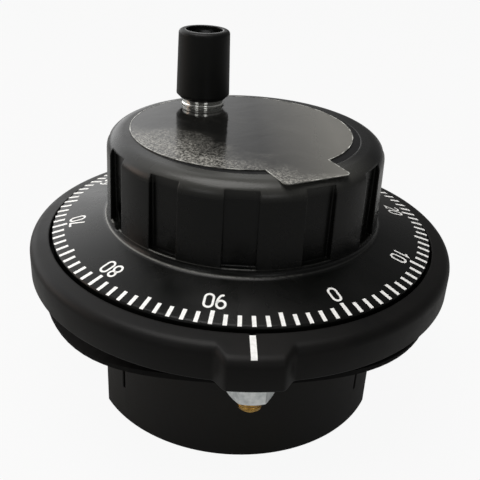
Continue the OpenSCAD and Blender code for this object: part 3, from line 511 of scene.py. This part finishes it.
def grown_mesh(name, tree, values):
    """What a geometry tree makes, as a plain mesh. The values go in by each input's identifier."""
    holder = bpy.data.objects.new(name, bpy.data.meshes.new(name))
    modifier = holder.modifiers.new(name, "NODES")
    modifier.node_group = tree
    for item in tree.interface.items_tree:
        if item.in_out == "INPUT":
            modifier[item.identifier] = values[item.name]
    bpy.context.scene.collection.objects.link(holder)
    bpy.context.view_layer.update()
    mesh = bpy.data.meshes.new_from_object(holder.evaluated_get(bpy.context.evaluated_depsgraph_get()))
    holder.modifiers.remove(modifier)
    bpy.data.objects.remove(holder)
    return mesh


outer_z = z_out - (mark_outer - probe_out) * math.tan(fall)
mesh = grown_mesh("dial_marks", marks_tree, {
    "Marks": marks, "Long every": 5, "Start angle": zero, "Outer radius": mark_outer,
    "Short length": mark_outer - short_inner, "Long length": mark_outer - long_inner,
    "Mark width": mark_w, "Ink thickness": 0.00006, "Outer height": outer_z, "Slope": fall,
    "Ink": ink_white})
plain_object("dial_marks", mesh, ink_white, "wheel")

# The numerals are a plain narrow engineering hand, drawn with one even stroke, tops outward.
digit_w, digit_h, stroke, digit_gap, digit_base = 1.75, 3.0, 0.38, 0.22, 29.4
mid, reach, low, high = digit_w / 2, (digit_w - stroke) / 2, stroke / 2, digit_h - stroke / 2


def arc(x, y, r, start, end, squash=1.0):
    """Points along an arc, from one angle to another, in degrees."""
    count = max(4, int(abs(end - start) / 12))
    turns = [math.radians(start + (end - start) * i / count) for i in range(count + 1)]
    return [(x + r * math.cos(t), y + r * squash * math.sin(t)) for t in turns]


bowl = 0.76
six = arc(mid, low + bowl, reach, 0, 360, bowl / reach)[:-1]
stem_low, stem_r = low + bowl + 0.15, reach + 0.05
six_stem = arc(mid + 0.05, stem_low, stem_r, 180, 75, (high - stem_low) / stem_r)
nine, nine_stem = ([(digit_w - x, digit_h - y) for x, y in line] for line in (six, six_stem))
digits = {
    "0": [(arc(mid, high - reach, reach, 0, 180) + arc(mid, low + reach, reach, 180, 360), True)],
    "1": [([(mid - 0.5, high - 0.6), (mid + 0.12, high), (mid + 0.12, low)], False)],
    "2": [(arc(mid, high - reach, reach, 170, -20) + [(mid - reach, low), (mid + reach, low)], False)],
    "3": [(arc(mid, high - 0.63, 0.63, 155, -85) + arc(mid - 0.02, low + 0.69, 0.69, 80, -155), False)],
    "4": [([(mid + 0.1, high), (mid - reach, low + 0.7), (mid + reach, low + 0.7)], False),
          ([(mid + 0.32, low + 1.5), (mid + 0.32, low)], False)],
    "5": [([(mid + reach - 0.08, high), (mid - reach + 0.1, high), (mid - reach + 0.06, low + 1.3)]
           + arc(mid - 0.02, low + 0.76, 0.7, 120, -150, 1.08), False)],
    "6": [(six, True), (six_stem, False)],
    "7": [([(mid - reach, high), (mid + reach, high), (mid - 0.2, low)], False)],
    "8": [(arc(mid, high - 0.6, 0.6, 0, 360)[:-1], True),
          (arc(mid, low + 0.71, 0.69, 0, 360, 1.03)[:-1], True)],
    "9": [(nine, True), (nine_stem, False)],
}


def stroke_sides(line, width, loop):
    """The two sides of a stroke of even width along a line of points, mitred at its bends."""
    count, left, right = len(line), [], []
    for i, (x, y) in enumerate(line):
        before = line[i - 1] if i or loop else line[i]
        after = line[(i + 1) % count] if i < count - 1 or loop else line[i]
        a = Vector((x - before[0], y - before[1]))
        b = Vector((after[0] - x, after[1] - y))
        a = a.normalized() if a.length > 1e-9 else b.normalized()
        b = b.normalized() if b.length > 1e-9 else a
        along = (a + b).normalized()
        side = Vector((-along.y, along.x)) * width / 2 / max(0.5, along.dot(a))
        left.append((x + side.x, y + side.y))
        right.append((x - side.x, y - side.y))
    return left, right


bm = bmesh.new()
for ten in range(10):
    words = str(ten * 10)
    angle = zero + ten * 10 * turn
    outward = Vector((math.cos(angle), math.sin(angle)))
    across = Vector((math.sin(angle), -math.cos(angle)))
    start = -(len(words) * digit_w + (len(words) - 1) * digit_gap) / 2
    for place_no, digit in enumerate(words):
        shift = start + place_no * (digit_w + digit_gap)
        for line, loop in digits[digit]:
            sides = stroke_sides(line, stroke, loop)
            laid = [[tuple((outward * (digit_base + y) + across * (shift + x)) / 1000) for x, y in side]
                    for side in sides]
            ribbon(bm, laid[0], laid[1], dial_top, 0.00003, loop)
plain_object("dial_numerals", printed_mesh("dial_numerals", bm), ink_white, "wheel")


# ---------- top plate and film ----------
# The plate is anodised aluminium, left bare. The film over it is clear polyester, scuffed and dusty,
# so it greys what lies under it and mirrors what stands near.
finish("top_plate", metal("black_anodised_aluminium", "1e1e1f", "141415", 0.4, 0.5, 3.0, 0.0))

film_pet, tree, out = new_material("scuffed_polyester_film")
place = add(tree, "ShaderNodeTexCoord").outputs["Object"]
rubs = add(tree, "ShaderNodeTexNoise", {"Vector": place, "Scale": 1000 / 0.42, "Detail": 4.0,
                                        "Roughness": 0.75})
cloud = add(tree, "ShaderNodeTexNoise", {"Vector": place, "Scale": 1000 / 9.0, "Detail": 5.0,
                                         "Distortion": 0.8})

# Rub marks gather on the side near the operator, a faint random haze lies over the film, and a painted
# reflection lightens it towards the right.
drift = maths(tree, "MULTIPLY", cloud.outputs["Fac"], 0.016)
across = add(tree, "ShaderNodeVectorMath", {0: place, 1: (-0.55, -0.83, 0.0)}, operation="DOT_PRODUCT")
worn_side = spread(tree, maths(tree, "ADD", across.outputs["Value"], drift), 0.0165, 0.026)
specks = spread(tree, rubs.outputs["Fac"], 0.42, 0.66, 0.05, 0.9)
wiped = spread(tree, cloud.outputs["Fac"], 0.45, 0.75, 0.0, 0.025)
parts = add(tree, "ShaderNodeSeparateXYZ", {"Vector": place}).outputs
# The painted reflection grows towards the right and is added to the random haze.
haze_and_painted_reflection = maths(tree, "ADD", wiped, spread(tree, parts["X"], 0.002, 0.016, 0.0, 0.32))
dust_and_painted_reflection = maths(tree, "ADD", maths(tree, "MULTIPLY", specks, worn_side), haze_and_painted_reflection)
# Dust and the painted reflection both lighten the colour and roughen the surface.
colour = blend(tree, dust_and_painted_reflection, "161615", "bebcb4")
rough = spread(tree, dust_and_painted_reflection, 0.0, 1.0, 0.10, 0.5)
bump = add(tree, "ShaderNodeBump", {"Height": cloud.outputs["Fac"], "Strength": 0.3, "Distance": 0.0002})
skin = add(tree, "ShaderNodeBsdfPrincipled", {"Base Color": colour, "IOR": 1.55, "Alpha": 0.9,
                                              "Roughness": rough, "Normal": bump.outputs["Normal"]})
tree.links.new(skin.outputs["BSDF"], out.inputs["Surface"])
finish("film", film_pet)

# A thin pale strip along the die-cut edge is a painted highlight, where the edge catches the light.
edge_highlight_material, tree, out = new_material("die_cut_edge_highlight")
place = add(tree, "ShaderNodeTexCoord").outputs["Object"]
edge_breakup = add(tree, "ShaderNodeTexNoise", {"Vector": place, "Scale": 1000 / 1.6, "Detail": 3.0})
# Noise breaks the painted highlight into brighter and dimmer stretches.
colour = blend(tree, spread(tree, edge_breakup.outputs["Fac"], 0.4, 0.62), "5c5c58", "c4c4be")
skin = add(tree, "ShaderNodeBsdfPrincipled", {"Base Color": colour, "Roughness": 0.3, "IOR": 1.6})
tree.links.new(skin.outputs["BSDF"], out.inputs["Surface"])


def top_outline(node):
    """The plan points round a CAD node's uppermost flat face, in order."""
    bm = bmesh.new()
    bm.from_mesh(nodes[node].data)
    bmesh.ops.remove_doubles(bm, verts=bm.verts, dist=1e-6)
    top = max(v.co.z for v in bm.verts) - 1e-5
    flat = {f for f in bm.faces if all(v.co.z > top for v in f.verts)}
    beside = {}
    for edge in bm.edges:
        if sum(f in flat for f in edge.link_faces) == 1:
            a, b = edge.verts
            beside.setdefault(a, []).append(b)
            beside.setdefault(b, []).append(a)
    before = next(iter(beside))
    loop, now = [before], beside[before][0]
    while now is not loop[0]:
        loop.append(now)
        before, now = now, next(v for v in beside[now] if v is not before)
    points = [(v.co.x, v.co.y) for v in loop]
    bm.free()
    return points


def plan_area(points):
    """Area inside a loop of plan points."""
    return abs(sum(a[0] * b[1] - b[0] * a[1] for a, b in zip(points, points[1:] + points[:1]))) / 2


edge_w, edge_t = 0.00016, 0.00003
outline = top_outline("film")
inner = min(stroke_sides(outline, 2 * edge_w, True), key=plan_area)
film_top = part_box("film")[1][2]
bm = bmesh.new()
ribbon(bm, outline, inner, lambda x, y: film_top, edge_t, True)
plain_object("film_edge", printed_mesh("film_edge", bm), edge_highlight_material, "wheel")


# ---------- crank ----------
# The spindle is turned steel with bright nickel plate; the grip is black ABS that turns on it, and the
# core pin that shaped its mouth was polished.
finish("crank_spindle", metal("nickel_plated_steel", "f3f3ee", "d6d6cf", 0.08, 0.16, 1.2, 0.001))
grip_low, grip_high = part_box("crank_grip")
grip_x, grip_y = (grip_low.x + grip_high.x) / 2, (grip_low.y + grip_high.y) / 2


def mouth(tree, place):
    """One inside the grip's mouth."""
    parts = add(tree, "ShaderNodeSeparateXYZ", {"Vector": place}).outputs
    return maths(tree, "LESS_THAN", off_axis(tree, parts, grip_x, grip_y), 0.0038)


grip_abs = black_moulding("moulded_black_abs_grip", "0b0c0b", "121211", 0.36, 0.5, 0.3, 0.02, 6.0,
                          shine=0.16, polished=mouth)
finish("crank_grip", grip_abs)


# ---------- floor, light and camera ----------
# A plain pale floor at the case's back, a soft studio round it, and the camera.
# Camera rays see floor and world as white. Reflections see a smaller share of it, and diffuse light none.
low_z = cad_box[0].z
floor_gap, floor_level, floor_mirrored, sky_mirrored = 0.00002, 0.93, 0.22, 0.12
bm = bmesh.new()
bmesh.ops.create_grid(bm, x_segments=1, y_segments=1, size=3.0)
bmesh.ops.translate(bm, verts=bm.verts, vec=(0, 0, low_z - floor_gap))
floor_mesh = bpy.data.meshes.new("floor")
bm.to_mesh(floor_mesh)
bm.free()
floor = bpy.data.objects.new("floor", floor_mesh)
bpy.context.scene.collection.objects.link(floor)
floor_white, tree, out = new_material("floor_white")
path = add(tree, "ShaderNodeLightPath").outputs
pale = add(tree, "ShaderNodeBsdfDiffuse", {"Color": linear("949492")})
bright = add(tree, "ShaderNodeEmission", {"Color": (1, 1, 1, 1), "Strength": 1.0})
bounced = maths(tree, "ADD", path["Is Glossy Ray"], path["Is Transmission Ray"])
mirrored = maths(tree, "MULTIPLY", bounced, floor_mirrored)
share = maths(tree, "MULTIPLY", maths(tree, "MAXIMUM", path["Is Camera Ray"], mirrored), floor_level)
mixed = add(tree, "ShaderNodeMixShader", {0: share, 1: pale.outputs[0], 2: bright.outputs[0]})
tree.links.new(mixed.outputs[0], out.inputs["Surface"])
floor_mesh.materials.append(floor_white)

world = bpy.data.worlds.new("studio")
bpy.context.scene.world = world
world.use_nodes = True
tree = world.node_tree
tree.nodes.clear()
way = add(tree, "ShaderNodeTexCoord").outputs["Generated"]
toward = add(tree, "ShaderNodeVectorMath", {0: way, 1: (-0.70, 0.68, 0.07)}, operation="DOT_PRODUCT")
level = spread(tree, toward.outputs["Value"], 0.45, 0.98, 0.05, 2.2, "SMOOTHSTEP")
around = add(tree, "ShaderNodeBackground", {"Color": (1, 1, 1, 1), "Strength": level})
behind = add(tree, "ShaderNodeBackground", {"Color": (1, 1, 1, 1), "Strength": 1.0})
path = add(tree, "ShaderNodeLightPath").outputs
bounced = maths(tree, "ADD", path["Is Glossy Ray"], path["Is Transmission Ray"])
mirrored = maths(tree, "MULTIPLY", bounced, sky_mirrored)
seen = maths(tree, "MAXIMUM", path["Is Camera Ray"], mirrored)
mixed = add(tree, "ShaderNodeMixShader", {0: seen, 1: around.outputs[0], 2: behind.outputs[0]})
add(tree, "ShaderNodeOutputWorld", {"Surface": mixed.outputs[0]})


def softbox(name, place, aim, size, power, tint="ffffff"):
    """A square soft lamp that faces a point."""
    lamp = bpy.data.lights.new(name, "AREA")
    lamp.shape, lamp.size, lamp.energy, lamp.color = "SQUARE", size, power, linear(tint)[:3]
    holder = bpy.data.objects.new(name, lamp)
    holder.location = place
    holder.rotation_euler = (Vector(aim) - Vector(place)).to_track_quat("-Z", "Y").to_euler()
    bpy.context.scene.collection.objects.link(holder)


bpy.context.scene.view_settings.view_transform = "Standard"
softbox("key", (-0.10, -0.04, 0.60), (0, 0, 0.01), 0.45, 3.7, "fffdfb")
softbox("side", (-0.55, 0.05, 0.10), (0, 0, 0.01), 0.20, 0.16, "ffc9a0")
softbox("glint_left", (-0.26, -0.36, 0.17), (0, 0, 0.03), 0.13, 0.11)
softbox("glint_right", (0.13, -0.44, 0.17), (0, 0, 0.03), 0.13, 0.13)

camera = bpy.data.objects.new("camera", bpy.data.cameras.new("camera"))
bpy.context.scene.collection.objects.link(camera)
bpy.context.scene.camera = camera
azimuth, elevation, roll = (math.radians(a) for a in (-4.486, 26.153, 3.232))
back = Vector((math.sin(azimuth) * math.cos(elevation), -math.cos(azimuth) * math.cos(elevation),
               math.sin(elevation)))
level_right = Vector((math.cos(azimuth), math.sin(azimuth), 0))
level_up = back.cross(level_right)
right = math.cos(roll) * level_right + math.sin(roll) * level_up
up = -math.sin(roll) * level_right + math.cos(roll) * level_up
pose = Matrix((right, up, back)).transposed().to_4x4()
pose.translation = Vector((-0.00956, -0.12187, 0.06833))
camera.matrix_world = pose
camera.data.sensor_width = 36
camera.data.lens = 52.87
camera.data.shift_x, camera.data.shift_y = -0.0039, -0.0406
camera.data.clip_start, camera.data.clip_end = 0.005, 20
